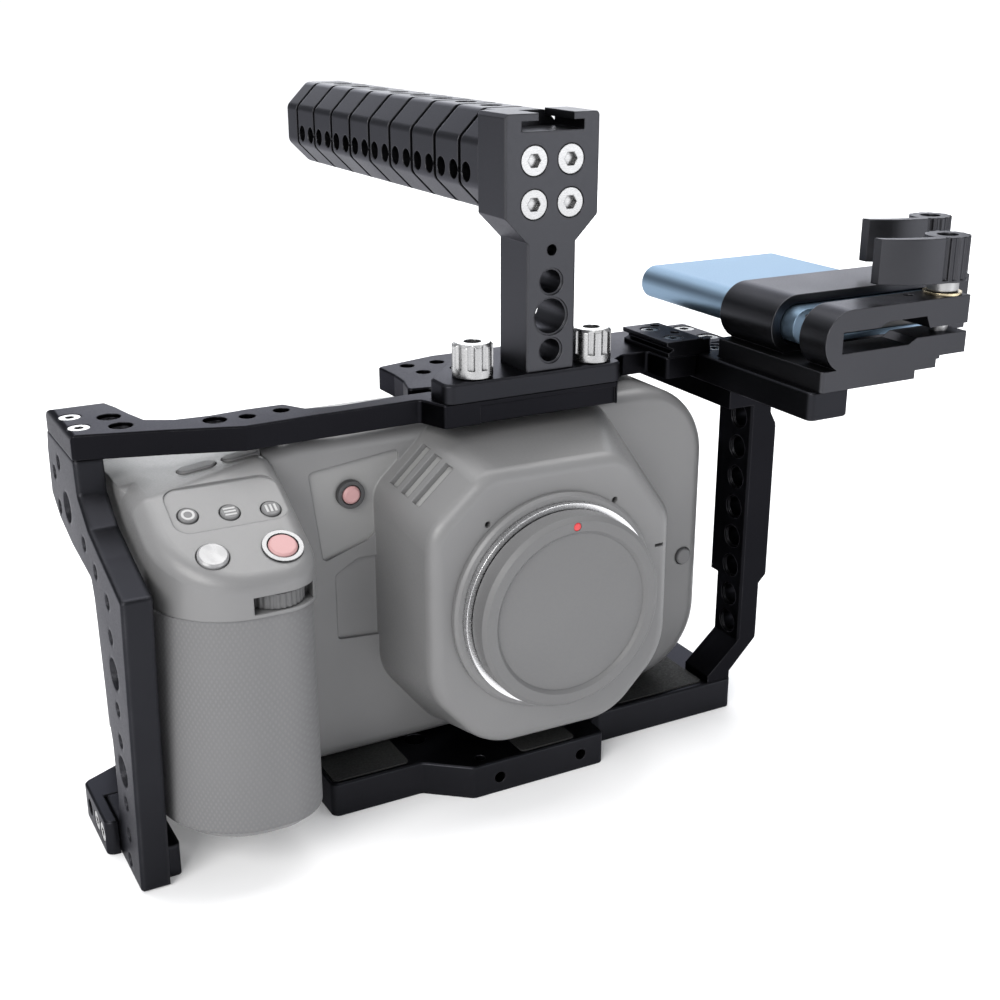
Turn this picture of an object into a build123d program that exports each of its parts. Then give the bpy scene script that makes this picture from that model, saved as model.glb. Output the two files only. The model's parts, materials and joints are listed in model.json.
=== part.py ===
from build123d import *
import math
import os

# Compact cinema camera in a machined cage, with a top handle and a drive clamp.
# +X: the camera's left side as seen from behind, +Y: towards the screen, +Z: up.
# The origin is the middle of the tripod thread on the underside of the base plate.

# ---------------------------------------------------------------- dimensions
# base plate
PLATE_T = 10.0
PLATE_FRONT = -13.0
PLATE_REAR = 38.0
PLATE_LEFT, PLATE_RIGHT = -61.0, 76.3
FOOT_LEFT, FOOT_RIGHT = -121.0, -105.5
PAD_TOP = 10.4

# side arms
ARM_OUT, ARM_IN = -117.5, -110.1
ARM_FOOT_IN = -105.8
RIGHT_IN, RIGHT_OUT = 78.0, 88.0
RIGHT_FRONT, RIGHT_REAR = -11.7, 4.0

# top plate
TOP_LO, TOP_HI = 107.5, 114.0
WING_REAR = 39.0

# screw sizes (radius)
QUARTER = 3.15
THREE_EIGHTHS = 4.75
M3, M4, M5 = 1.5, 2.0, 2.5
FIT = 0.06
GAP = 0.3

# handle
HANDLE_X = 8.2
BASE_T = 5.4
POST_W, POST_FRONT, POST_REAR = 14.9, -11.0, 4.5
HEAD_W, HEAD_TOP, HEAD_LOW, NECK_Z = 28.4, 187.5, 161.2, 154.4
GRIP_W, GRIP_H, GRIP_END = 28.0, 27.0, 150.0
GRIP_Z = 173.6
RINGS, RING_PITCH = 9, 15.4
THUMB = [(-13.3, -6.2), (24.0, -6.2)]

# drive clamp and drive
CLAMP_BAR = (68.0, 82.0, -49.0, 12.3)
CLAMP_Z0, CLAMP_Z1 = 114.0, 136.2
FRONT_LOOP = (70.8, 122.5, -50.0, -39.0)
REAR_LOOP = (70.8, 145.6, -27.0, -3.0)
DRIVE = (74.4, 131.4, -32.0, 44.0, 122.7, 133.1)
WING_SCREWS = [(117.0, -44.5), (138.6, -15.5)]

# camera
CAM_L, CAM_R = -108.0, 70.0
CAM_FRONT, CAM_SPLIT, CAM_REAR = 0.0, 25.0, 48.0
CAM_LO, CAM_HI = PAD_TOP, 106.0
GRIP_LO, ROOF_FOLD, ROOF_TILT = 12.8, -62.0, 7.0
REAR_SLOPE_Y, REAR_SLOPE_Z = 27.0, 99.8
LENS_Z = 59.5
HUMP_Y, FLANGE_Y = -28.0, -32.5
GRIP_FRONT, GRIP_IN = -36.0, -70.5
DECK_FRONT, DECK_LIP, DECK_LOW, DECK_TILT = -38.0, 86.0, 76.5, 28.0
RIM_RADIUS = 5.0
HUMP_ROOT_Y = 1.5


# ------------------------------------------------------------------- helpers
def across(y):
    """Plane facing -Y at the given y: sketch x is X, sketch y is Z."""
    return Plane.XZ.offset(-y)


def side(x):
    """Plane facing +X at the given x: sketch x is Y, sketch y is Z."""
    return Plane.YZ.offset(x)


def level(z):
    """Plane facing +Z at the given height."""
    return Plane.XY.offset(z)


def under(z):
    """Plane facing -Z at the given height: sketch x is X, sketch y is -Y."""
    return Plane(origin=(0, 0, z), x_dir=(1, 0, 0), z_dir=(0, 0, -1))


def left_side(x):
    """Plane facing -X at the given x: sketch x is -Y, sketch y is Z."""
    return Plane(origin=(x, 0, 0), x_dir=(0, -1, 0), z_dir=(-1, 0, 0))


def prism(plane, points, amount, mode=Mode.ADD, radius=0.0):
    """Closed polygon on a plane, its corners rounded, extruded along the normal."""
    with BuildSketch(plane) as profile:
        with BuildLine():
            Polyline(*points, close=True)
        make_face()
        if radius:
            fillet(profile.vertices(), radius)
    extrude(profile.sketch, amount=amount, mode=mode)


def brick(x, y, z, radius=0.0, mode=Mode.ADD):
    """Block between pairs of limits, with its vertical edges rounded."""
    with BuildSketch(level(z[0])) as base:
        with Locations(((x[0] + x[1]) / 2, (y[0] + y[1]) / 2)):
            if radius:
                RectangleRounded(x[1] - x[0], y[1] - y[0], radius)
            else:
                Rectangle(x[1] - x[0], y[1] - y[0])
    extrude(base.sketch, amount=z[1] - z[0], mode=mode)


def discs(plane, points, radius, amount, mode=Mode.ADD):
    """Round pegs, or bores with Mode.SUBTRACT, at points of a plane."""
    with BuildSketch(plane) as spots:
        with Locations(*points):
            Circle(radius)
    extrude(spots.sketch, amount=amount, mode=mode)


def bores(plane, points, radius, depth):
    """Bores into the material behind a plane."""
    discs(plane, points, radius, -depth, Mode.SUBTRACT)


def round_off(plane, corner, inward, radius, amount):
    """Cut that rounds an outside corner of a section; inward is the sign along each axis."""
    (cx, cy), (ux, uy) = corner, inward
    with BuildSketch(plane) as waste:
        with Locations((cx + ux * (radius - 1) / 2, cy + uy * (radius - 1) / 2)):
            Rectangle(radius + 1, radius + 1)
        with Locations((cx + ux * radius, cy + uy * radius)):
            Circle(radius, mode=Mode.SUBTRACT)
    extrude(waste.sketch, amount=amount, mode=Mode.SUBTRACT)


def socket_screws(plane, points, head_r, head_h, shank_r, length, key_r):
    """Cap screws seated on a plane: head in front, shank behind, hexagon socket."""
    discs(plane, points, head_r, head_h)
    discs(plane, points, shank_r, -length)
    with BuildSketch(plane.offset(head_h)) as key:
        with Locations(*points):
            RegularPolygon(key_r, 6)
    extrude(key.sketch, amount=-head_h * 0.6, mode=Mode.SUBTRACT)


def save(builder, node):
    """Label a finished piece and write its STEP file."""
    builder.part.label = node
    export_step(builder.part, f"parts/{node}.step")


os.makedirs("parts", exist_ok=True)

# ======================================================================= CAGE
plate_outline = [
    (PLATE_LEFT, PLATE_FRONT), (-34.0, PLATE_FRONT), (-22.0, -22.7), (21.5, -22.7),
    (21.5, -15.0), (26.0, -12.0), (PLATE_RIGHT, -12.0), (PLATE_RIGHT, PLATE_REAR),
    (-96.0, PLATE_REAR), (-108.0, 29.0), (FOOT_LEFT, 22.3), (FOOT_LEFT, -2.0), (FOOT_RIGHT, -2.0),
    (FOOT_RIGHT, 26.0), (PLATE_LEFT, 26.0),
]
PAD_SPOTS = [(-60.0, -37.0, -11.5, 18.0), (-6.0, 12.0, -21.5, -11.0), (34.0, 66.0, -10.0, 26.0)]
CAMERA_SCREW = (0.0, 16.0)
ARM_SCREWS = [(71.2, -8.6), (71.2, -2.4)]
TENON_SCREWS = [(2.6, 5.0), (9.0, 5.0)]
TAPPED_SMALL = [(x, 31.0) for x in (-96.0, -84.0, -72.0, -48.0, -30.0, -15.0, 15.0, 30.0, 45.0, 60.0)]

with BuildPart() as bottom_plate:
    prism(level(0), plate_outline, PLATE_T, radius=2.2)
    # seats of the rubber pads
    for x0, x1, y0, y1 in PAD_SPOTS:
        brick((x0, x1), (y0, y1), (PLATE_T - 0.8, PLATE_T), 1.5, Mode.SUBTRACT)
    # tripod threads, the camera screw's counterbored hole and the tapped row
    bores(level(PLATE_T), [(0.0, 0.0), (-30.0, 0.0)], QUARTER, PLATE_T)
    bores(level(PLATE_T), [(26.0, 4.0)], THREE_EIGHTHS, PLATE_T)
    bores(level(PLATE_T), [CAMERA_SCREW], QUARTER + 0.1, PLATE_T)
    bores(level(4.2), [CAMERA_SCREW], 7.2, 4.2)
    bores(level(PLATE_T), TAPPED_SMALL, M4, PLATE_T)
    bores(level(PLATE_T), [(-18.0, -18.6)], M3, 6)
    # accessory threads in the front of the block
    bores(across(-22.7), [(-13.7, 4.6), (13.3, 4.6)], M3 + 0.2, 8)
    # slot in the foot that takes the tenon of the left arm, and its two screw holes
    brick((ARM_OUT - 0.1, ARM_IN - 0.3), (-2.0, 12.1), (0, PLATE_T), mode=Mode.SUBTRACT)
    bores(side(-115.0), TENON_SCREWS, M3 + FIT, 6.1)
    bores(side(FOOT_LEFT + 1.4), TENON_SCREWS, 2.8, 1.5)
    bores(side(FOOT_LEFT + 7), [(16.4, 5.0)], M4 + 0.4, 7)
    # two screws come up into the right arm
    bores(level(PLATE_T), ARM_SCREWS, M3 + FIT, PLATE_T)
    bores(level(3.4), ARM_SCREWS, 2.9, 3.4)
    # broken top edge all round
    chamfer(bottom_plate.faces().sort_by(Axis.Z)[-1].outer_wire().edges(), 0.5)
save(bottom_plate, "bottom_plate")

with BuildPart() as bottom_pads:
    for x0, x1, y0, y1 in PAD_SPOTS:
        brick((x0 + 0.02, x1 - 0.02), (y0 + 0.02, y1 - 0.02), (PLATE_T - 0.8, PAD_TOP), 1.5)
save(bottom_pads, "bottom_pads")

with BuildPart() as tripod_screw:
    discs(level(0.6), [CAMERA_SCREW], 6.6, 3.5)
    discs(level(4.1), [CAMERA_SCREW], QUARTER - 0.05, 12.0)
    brick((-7, 7), (15.3, 16.7), (0.6, 1.9), mode=Mode.SUBTRACT)
save(tripod_screw, "tripod_screw")

# --- left arm: a leg in front, a sloping shoulder and a head under the top bar
TOP_REAR_LEFT = 38.6
left_profile = [
    (-22.6, 0.0), (-2.1, 0.0), (-2.1, 8.0), (-5.0, 20.0), (-5.0, 35.0), (-3.0, 42.0), (-1.0, 74.0),
    (0.5, 78.4), (20.0, 80.7), (33.0, 84.0), (41.0, 89.0), (40.5, 102.0), (TOP_REAR_LEFT, TOP_LO),
    (7.6, TOP_LO), (6.6, 98.6), (-2.0, 92.5), (-14.0, 88.8), (-31.0, 84.0), (-30.0, 75.6),
    (-27.0, 45.5), (-24.4, 18.0),
]
LEFT_LARGE = [(21.0, 91.0), (-16.0, 59.4), (-14.8, 31.4)]
LEFT_SMALL = [(4.5, 86.5), (-6.0, 82.8), (-16.5, 78.8), (-16.2, 69.4), (-16.0, 49.6), (-15.5, 40.4),
              (-14.6, 22.0), (-14.0, 12.5), (-12.5, 4.2), (33.5, 97.0), (27.0, 101.5), (31.0, 88.0)]
TOP_LEFT_SCREWS = [(-114.0, 24.2), (-114.0, 13.8)]

with BuildPart() as left_arm:
    prism(side(ARM_OUT), left_profile, ARM_IN - ARM_OUT, radius=0.9)
    # inward flange at the foot and the tenon that enters the base plate's foot
    brick((ARM_IN - 0.5, ARM_FOOT_IN), (-19.0, -3.2), (0.0, 9.0), 1.5)
    brick((ARM_OUT, ARM_IN - 0.4), (-3.0, 12.0), (0.1, 9.9))
    bores(side(ARM_IN), LEFT_LARGE, QUARTER, 8)
    bores(side(ARM_IN), LEFT_SMALL, M4, 8)
    bores(side(ARM_OUT + 0.9), LEFT_LARGE, 4.2, 1.0)
    bores(side(ARM_IN), TENON_SCREWS, M3 + FIT, 8)
    bores(level(TOP_LO), TOP_LEFT_SCREWS, M3 + FIT, 10)
    rim = left_arm.faces().filter_by(Axis.X).sort_by(Axis.X)[0].outer_wire().edges()
    chamfer(rim.filter_by(lambda e: e.center().Z < 97.0), 0.6)
save(left_arm, "left_arm")

with BuildPart() as left_arm_screws:
    socket_screws(level(TOP_HI - 1.9), TOP_LEFT_SCREWS, 2.75, 1.8, M3, 14, 1.3)
    foot_points = [(-y, z) for y, z in TENON_SCREWS]
    socket_screws(left_side(FOOT_LEFT + 1.4), foot_points, 2.6, 1.3, M3, 8, 1.3)
save(left_arm_screws, "left_arm_screws")

# --- right arm: column, 45 degree elbow and a head block under the wing
right_profile = [
    (67.0, PLATE_T), (75.2, PLATE_T), (75.2, 12.5), (85.4, 23.0), (85.4, 41.6), (RIGHT_OUT, 44.2),
    (RIGHT_OUT, 92.0), (85.2, 97.0), (85.2, 100.5), (RIGHT_IN, 100.5), (RIGHT_IN, 22.3), (67.0, 12.3),
]
RIGHT_HOLES = [95.2, 85.4, 75.6, 65.8, 56.0, 46.2, 36.4, 27.0]
BAR_SCREWS = [(73.8, -4.6), (77.2, 7.4)]
WING_SCREWS_TOP = [(84.0, 20.0), (84.0, 33.0)]

with BuildPart() as right_arm:
    prism(across(RIGHT_REAR), right_profile, RIGHT_REAR - RIGHT_FRONT)
    brick((69.5, RIGHT_OUT), (RIGHT_FRONT, 12.4), (100.0, 106.0))
    brick((69.5, RIGHT_OUT), (12.4, WING_REAR - 0.5), (100.0, TOP_LO))
    # the lower part of the column is shallower
    brick((60.0, 95.0), (0.5, 8.0), (PLATE_T, 42.0), mode=Mode.SUBTRACT)
    column = [(-5.6, z) for z in RIGHT_HOLES]
    bores(side(RIGHT_OUT), column, QUARTER, 10.5)
    discs(side(RIGHT_IN), column, QUARTER + 0.6, 0.8, Mode.SUBTRACT)
    bores(level(106.0), BAR_SCREWS, M4 + FIT, 7)
    bores(level(TOP_LO), WING_SCREWS_TOP, M4 + FIT, 8)
    bores(level(13.8), ARM_SCREWS, M3 + FIT, 3.8)
    chamfer(right_arm.edges().filter_by(Axis.Z).group_by(Axis.Y)[0].filter_by(lambda e: e.length > 10), 0.7)
save(right_arm, "right_arm")

with BuildPart() as right_arm_screws:
    socket_screws(level(TOP_HI - 2.4), WING_SCREWS_TOP, 3.4, 2.2, M4, 10, 1.6)
    socket_screws(under(3.4), [(x, -y) for x, y in ARM_SCREWS], 2.75, 3.0, M3, 10, 1.3)
save(right_arm_screws, "right_arm_screws")

# --- top plate: bar over the grip, centre plate under the handle, right wing
top_outline = [
    (ARM_OUT, 7.6), (-94.3, 0.9), (-77.0, -4.9), (-56.7, -4.0), (-27.8, -3.5), (-24.4, -12.2),
    (29.5, -12.2), (31.0, -9.0), (42.0, 9.0), (47.0, 12.5), (56.2, 12.5), (56.2, 2.6), (67.9, 2.6),
    (67.9, 12.5), (RIGHT_OUT, 12.5), (RIGHT_OUT, WING_REAR), (-4.0, WING_REAR), (-23.6, 34.0),
    (-23.2, 23.4), (-23.8, 16.0), (-26.1, 7.6), (-19.5, 6.4), (-19.5, 2.6), (-31.0, 2.8), (-49.0, 1.6),
    (-57.5, 3.2), (-61.5, 10.0), (-72.0, 10.0), (-82.0, 8.9), (-91.0, 9.6), (-97.5, 13.0), (-99.5, 20.5),
    (-101.0, 28.0), (-104.2, TOP_REAR_LEFT), (ARM_OUT, TOP_REAR_LEFT),
]
TOP_SMALL = [(-105.1, 19.6), (-104.3, 10.4), (-82.0, 3.9), (-73.6, 3.2), (-64.0, 4.4), (-15.6, 31.0),
             (-6.0, 31.0), (-14.5, 22.3), (20.0, 32.0), (34.0, 32.0), (34.0, 20.0), (48.0, 32.0)]

with BuildPart() as top_plate:
    prism(level(TOP_LO), top_outline, TOP_HI - TOP_LO, radius=1.2)
    chamfer(top_plate.faces().sort_by(Axis.Z)[-1].outer_wire().edges(), 0.4)
    # the left end is rounded over the arm, most of all at the rear
    round_off(side(ARM_OUT - 1), (TOP_REAR_LEFT, TOP_HI), (-1, -1), 6.0, 16)
    round_off(across(TOP_REAR_LEFT + 1), (ARM_OUT, TOP_HI), (1, -1), 1.6, 34)
    bores(level(TOP_HI), TOP_SMALL, M4 + 0.2, 7)
    bores(level(TOP_HI), TOP_SMALL[:3], 3.1, 1.2)
    bores(level(TOP_HI), TOP_LEFT_SCREWS, M3 + FIT, 7)
    bores(level(TOP_HI), TOP_LEFT_SCREWS, 2.9, 1.9)
    bores(level(TOP_HI), WING_SCREWS_TOP, M4 + FIT, 7)
    bores(level(TOP_HI), WING_SCREWS_TOP, 3.55, 2.4)
    # threads of the handle's thumb screws, and its two locating holes
    bores(level(TOP_HI), THUMB, QUARTER, 7)
    bores(level(TOP_HI), [(62.0, 8.0), (62.0, 20.5)], M3 + FIT, 7)
    # shallow step along the front of the centre plate
    brick((-14.0, 29.0), (-13.0, -11.4), (TOP_LO, TOP_HI - 1.6), mode=Mode.SUBTRACT)
save(top_plate, "top_plate")

# --- quick-release rail on the wing
rail_section = [(57.0, 114.0), (69.0, 114.0), (69.0, 115.2), (67.4, 115.9), (67.4, 116.4), (69.4, 117.4),
                (69.4, 118.6), (56.4, 118.6), (56.4, 117.4), (58.6, 116.4), (58.6, 115.9), (57.0, 115.2)]
RAIL_SCREWS = [(62.0, 8.0), (62.0, 20.5)]
with BuildPart() as accessory_rail:
    prism(across(27.0), rail_section, 24.2)
    with BuildSketch(level(TOP_HI)) as toe:
        with Locations((68.8, 4.4)):
            SlotOverall(8.4, 3.2)
    extrude(toe.sketch, amount=4.2)
    bores(level(118.6), RAIL_SCREWS, M3 + FIT, 6)
    bores(level(118.6), RAIL_SCREWS, 3.0, 2.2)
    bores(level(118.6), [(66.2, 13.0), (66.2, 23.8)], M3, 4.6)
save(accessory_rail, "accessory_rail")

with BuildPart() as accessory_rail_screws:
    socket_screws(level(116.4), RAIL_SCREWS, 2.8, 2.0, M3, 8, 1.3)
save(accessory_rail_screws, "accessory_rail_screws")

# --- bar that carries the drive clamp in front of the wing
bx0, bx1, by0, by1 = CLAMP_BAR
CLAMP_FIX = [(75.0, -42.5), (75.0, -20.0)]
with BuildPart() as clamp_bar:
    brick((bx0, bx1), (by0, by1), (106.0, TOP_HI), 2.2)
    bores(level(TOP_HI), BAR_SCREWS, M4 + FIT, 9)
    bores(level(TOP_HI), BAR_SCREWS, 3.55, 2.6)
    bores(level(TOP_HI), CLAMP_FIX, M3 + FIT, 9)
    bores(level(108.4), CLAMP_FIX, 2.9, 2.4)
    bores(level(TOP_HI), [(74.6, -12.6)], M4, 9)
    bores(level(TOP_HI), [(74.6, -31.0)], QUARTER, 9)
    chamfer(clamp_bar.faces().sort_by(Axis.Z)[-1].outer_wire().edges(), 0.4)
    chamfer(clamp_bar.faces().sort_by(Axis.Z)[0].outer_wire().edges(), 0.4)
save(clamp_bar, "clamp_bar")

with BuildPart() as clamp_bar_screws:
    socket_screws(level(TOP_HI - 2.6), BAR_SCREWS, 3.4, 2.3, M4, 11, 1.6)
save(clamp_bar_screws, "clamp_bar_screws")

# ================================================================= TOP HANDLE
BASE_Z1 = TOP_HI + BASE_T
POST_SCREWS = [(HANDLE_X - 5.2, -3.2), (HANDLE_X + 5.2, -3.2)]
base_outline = [(-24.4, -12.6), (31.0, -12.6), (31.0, 6.0), (24.0, 20.0), (-4.0, 20.0), (-24.4, -3.0)]
with BuildPart() as handle_base:
    prism(level(TOP_HI), base_outline, BASE_T, radius=3.0)
    bores(level(BASE_Z1), THUMB, QUARTER + 0.08, 6)
    bores(level(BASE_Z1), POST_SCREWS, M3 + FIT, 6)
    bores(level(TOP_HI + 3.0), POST_SCREWS, 2.9, 3.0)
    bores(level(BASE_Z1), [(-13.2, 3.4), (-3.6, 12.8), (8.2, 13.5), (20.0, 13.0)], M4, 6)
    chamfer(handle_base.faces().sort_by(Axis.Z)[-1].outer_wire().edges(), 0.6)
save(handle_base, "handle_base")

half_post, half_head = POST_W / 2, HEAD_W / 2
post_profile = [
    (HANDLE_X - half_post, BASE_Z1), (HANDLE_X + half_post, BASE_Z1), (HANDLE_X + half_post, NECK_Z),
    (HANDLE_X + half_head, HEAD_LOW), (HANDLE_X + half_head, HEAD_TOP), (HANDLE_X - half_head, HEAD_TOP),
    (HANDLE_X - half_head, HEAD_LOW), (HANDLE_X - half_post, NECK_Z),
]
GRIP_SCREWS = [(HANDLE_X + dx, z) for dx in (-5.5, 5.5) for z in (164.4, 175.6)]
with BuildPart() as handle_post:
    prism(across(POST_REAR), post_profile, POST_REAR - POST_FRONT)
    chamfer(handle_post.edges().filter_by(Axis.Z).filter_by(lambda e: e.length > 20), 0.5)
    chamfer(handle_post.faces().sort_by(Axis.Z)[-1].edges().filter_by(Axis.Y), 1.0)
    # accessory shoe: open channel along Y, undercut on both sides
    shoe = across(POST_REAR + 1)
    prism(shoe, [(HANDLE_X - 4.4, 184.0), (HANDLE_X + 6.3, 184.0), (HANDLE_X + 6.3, 190.0),
                 (HANDLE_X - 4.4, 190.0)], 20, Mode.SUBTRACT)
    prism(shoe, [(HANDLE_X - 9.4, 183.0), (HANDLE_X + 9.4, 183.0), (HANDLE_X + 9.4, 185.6),
                 (HANDLE_X - 9.4, 185.6)], 20, Mode.SUBTRACT)
    # holes down the front, with broken edges
    front = across(POST_FRONT)
    bores(front, [(HANDLE_X, 152.2)], M3, 20)
    bores(front, [(HANDLE_X, 143.7), (HANDLE_X, 124.9)], QUARTER, 20)
    bores(front, [(HANDLE_X, 134.3)], THREE_EIGHTHS, 20)
    bores(front, [(HANDLE_X, 143.7), (HANDLE_X, 124.9)], QUARTER + 0.5, 0.6)
    bores(front, [(HANDLE_X, 134.3)], THREE_EIGHTHS + 0.5, 0.6)
    bores(front, GRIP_SCREWS, M5 + FIT, 20)
    bores(front, GRIP_SCREWS, 4.1, 2.8)
    bores(level(BASE_Z1 + 4.0), POST_SCREWS, M3 + FIT, 4.0)
save(handle_post, "handle_post")

with BuildPart() as handle_post_screws:
    socket_screws(under(TOP_HI + 3.0), [(x, -y) for x, y in POST_SCREWS], 2.75, 2.8, M3, 6.2, 1.4)
save(handle_post_screws, "handle_post_screws")

with BuildPart() as grip_screws:
    socket_screws(across(POST_FRONT + 2.8), GRIP_SCREWS, 3.85, 2.7, M5, 25, 2.0)
save(grip_screws, "grip_screws")


def grip_section(plane, width, height, corner):
    """Rectangle with cut corners: the flats of the hand grip."""
    w, h = width / 2, height / 2
    points = [(-w + corner, -h), (w - corner, -h), (w, -h + corner), (w, h - corner),
              (w - corner, h), (-w + corner, h), (-w, h - corner), (-w, -h + corner)]
    with BuildSketch(plane) as section:
        with BuildLine():
            Polyline(*[(HANDLE_X + x, GRIP_Z + z) for x, z in points], close=True)
        make_face()
        fillet(section.vertices(), 3.0)
    return section.sketch


with BuildPart() as handle_grip:
    extrude(grip_section(across(GRIP_END), GRIP_W, GRIP_H, 7.5), amount=GRIP_END - POST_REAR)
    # a ring groove at each pitch, cut to the same depth on every flat
    for ring in range(RINGS):
        y = POST_REAR + 11.0 + ring * RING_PITCH
        collar = Plane.XZ.offset(-(y + 1.0))
        with BuildSketch(collar) as band:
            with Locations((HANDLE_X, GRIP_Z)):
                Rectangle(GRIP_W + 6, GRIP_H + 6)
            add(grip_section(Plane.XZ, GRIP_W - 2.8, GRIP_H - 2.8, 7.0), mode=Mode.SUBTRACT)
        extrude(band.sketch, amount=2.0, mode=Mode.SUBTRACT)
    # rows of lightening holes: across the grip, and down through the top
    cross = [(POST_REAR + 7.0 + i * RING_PITCH / 2, GRIP_Z - 2.6) for i in range(17)]
    bores(side(HANDLE_X + GRIP_W), cross, 2.7, 2 * GRIP_W)
    down = [(HANDLE_X, POST_REAR + 18.7 + i * RING_PITCH) for i in range(8)]
    bores(level(HEAD_TOP + 4), down, QUARTER, 12.4)
    bores(across(POST_REAR), GRIP_SCREWS, M5 + FIT, 14)
    discs(across(GRIP_END), [(HANDLE_X, GRIP_Z)], QUARTER, 12, Mode.SUBTRACT)
    chamfer(handle_grip.faces().sort_by(Axis.Y)[-1].outer_wire().edges(), 2.0)
save(handle_grip, "handle_grip")


def thumb_screw(x, y):
    """Fluted head with a dished slot, collar and threaded shank."""
    z0 = BASE_Z1 + GAP
    discs(level(z0), [(x, y)], 5.6, 9.2)
    chamfer(faces().sort_by(Axis.Z)[-1].edges(), 0.8)
    flutes = [(x + 6.2 * math.cos(a), y + 6.2 * math.sin(a)) for a in
              (math.radians(i * 360 / 9) for i in range(9))]
    discs(level(z0 + 2.2), flutes, 1.25, 8.0, Mode.SUBTRACT)
    bores(level(z0 + 9.2), [(x, y)], 2.4, 2.5)
    discs(level(TOP_LO + 0.6), [(x, y)], QUARTER - 0.05, z0 - TOP_LO - 0.6)


with BuildPart() as thumb_screw_left:
    thumb_screw(*THUMB[0])
save(thumb_screw_left, "thumb_screw_left")

with BuildPart() as thumb_screw_right:
    thumb_screw(*THUMB[1])
save(thumb_screw_right, "thumb_screw_right")

# ================================================================ DRIVE CLAMP
fx0, fx1, fy0, fy1 = FRONT_LOOP
rx0, rx1, ry0, ry1 = REAR_LOOP
LOOP_LO = 118.8
BEND = (CLAMP_Z1 - LOOP_LO) / 2
MID = (CLAMP_Z1 + LOOP_LO) / 2
dx0, dx1, dy0, dy1, dz0, dz1 = DRIVE


def loop_outline(plane, x0, x1, amount):
    """Outer shape of a sprung loop: round bend on the left, square jaws on the right."""
    with BuildSketch(plane) as outline:
        with Locations(((x0 + BEND + x1) / 2, MID)):
            Rectangle(x1 - x0 - BEND, 2 * BEND)
        with Locations((x0 + BEND, MID)):
            Circle(BEND)
    extrude(outline.sketch, amount=amount)


with BuildPart() as clamp_body:
    loop_outline(across(fy1), fx0, fx1, fy1 - fy0)
    loop_outline(across(ry1), rx0, rx1, ry1 - ry0)
    # foot under both loops, on the clamp bar
    brick((fx0 - 0.4, fx0 + 34), (fy0, ry1), (CLAMP_Z0, LOOP_LO + 1.0), 1.2)
    brick((fx0 + 30, fx0 + 41), (fy0, ry1), (CLAMP_Z0 + 2.4, LOOP_LO + 1.0))
    brick((fx0 + 28, rx1 - 10), (ry0, ry1), (CLAMP_Z0 + 2.4, LOOP_LO + 1.0))
    # cavity of the rear loop, 0.5 mm larger than the drive, and its split jaws
    with BuildSketch(across(ry1 + 1)) as cavity:
        with Locations(((dx0 + dx1) / 2, (dz0 + dz1) / 2)):
            RectangleRounded(dx1 - dx0 + 1.1, dz1 - dz0 + 1.1, 5.4)
    extrude(cavity.sketch, amount=26, mode=Mode.SUBTRACT)
    prism(across(ry1 + 1), [(dx1 - 2, 127.0), (rx1 + 1, 127.0), (rx1 + 1, 129.2), (dx1 - 2, 129.2)],
          26, Mode.SUBTRACT)
    # window and split of the front loop: a plug's collar sits in the deeper step
    window = [(fx0 + 6.0, 124.2), (fx0 + 30.0, 124.2), (fx0 + 33.0, 125.8), (fx1 + 1, 125.8), (fx1 + 1, 128.2),
              (fx0 + 37.5, 128.2), (fx0 + 36.0, 131.6), (fx0 + 22.0, 131.6), (fx0 + 19.0, 130.2),
              (fx0 + 6.0, 130.2)]
    prism(across(fy1 + 1), window, 13, Mode.SUBTRACT)
    # relief under the free ends of the jaws
    for x0, x1, y0, y1 in (FRONT_LOOP, REAR_LOOP):
        brick((x1 - 9.5, x1 + 1), (y0 - 1, y1 + 1), (LOOP_LO - 3, LOOP_LO + 0.9), mode=Mode.SUBTRACT)
    # the wing screws pass the upper jaws and thread into the lower ones
    bores(level(CLAMP_Z1), WING_SCREWS, M5 + 0.08, 18)
    bores(level(LOOP_LO), CLAMP_FIX, M3 + FIT, LOOP_LO - CLAMP_Z0)
    bores(level(CLAMP_Z1), [(120.0 - 13.5, fy1 - 3.2)], M3, 4)
save(clamp_body, "clamp_body")

with BuildPart() as clamp_body_screws:
    socket_screws(under(108.4), [(x, -y) for x, y in CLAMP_FIX], 2.75, 2.2, M3, 10, 1.3)
save(clamp_body_screws, "clamp_body_screws")

with BuildPart() as clamp_pads:
    brick((dx0 + 10, dx1 - 8), (ry0 + 2, ry1 - 2), (dz0 - 0.55, dz0 - 0.3))
    brick((dx0 + 10, dx1 - 8), (ry0 + 2, ry1 - 2), (dz1 + 0.3, dz1 + 0.55))
save(clamp_pads, "clamp_pads")

with BuildPart() as wing_washers:
    discs(level(CLAMP_Z1), WING_SCREWS, 5.4, 0.8)
    discs(level(CLAMP_Z1), WING_SCREWS, M5 + 0.08, 0.8, Mode.SUBTRACT)
save(wing_washers, "wing_washers")


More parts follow.
